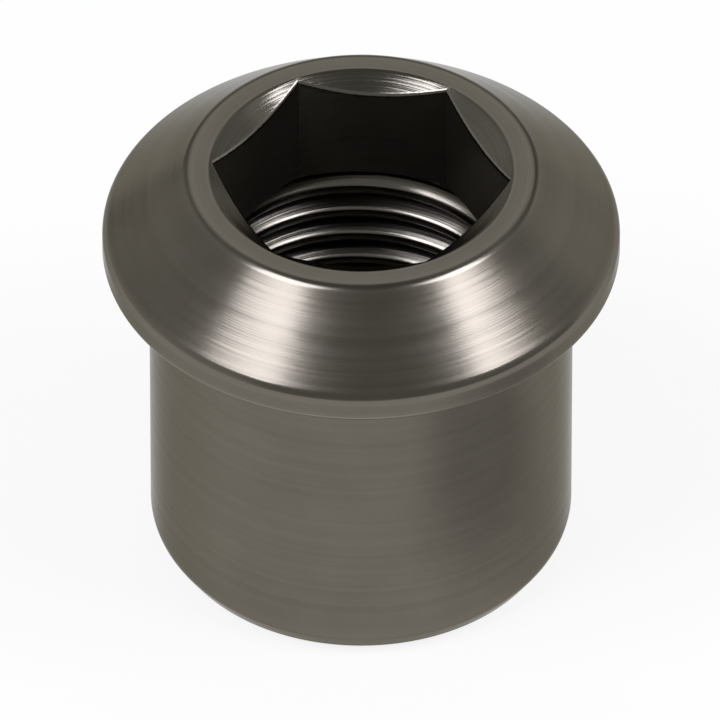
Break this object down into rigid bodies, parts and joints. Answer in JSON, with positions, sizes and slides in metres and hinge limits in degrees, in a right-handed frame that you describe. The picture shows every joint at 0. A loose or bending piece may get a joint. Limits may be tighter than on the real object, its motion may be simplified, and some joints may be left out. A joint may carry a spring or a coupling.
{
  "type": "chainring nut",
  "caption": "Headed sleeve nut with a cone head, a hexagon socket and a threaded bore, used to clamp chainrings to a crank.",
  "frame": {"origin": "centre of the sleeve's end face, on the nut's axis", "axes": "+Z along the axis, from the sleeve's end to the head; +X through a corner of the hexagon socket"},
  "size_m": [0.0122, 0.0122, 0.011],
  "materials": {
    "turned_metal": "bare turned titanium with fine lathe lines, satin"
  },
  "bodies": {
    "root": {"chainring_nut": "turned_metal"}
  },
  "joints": []
}
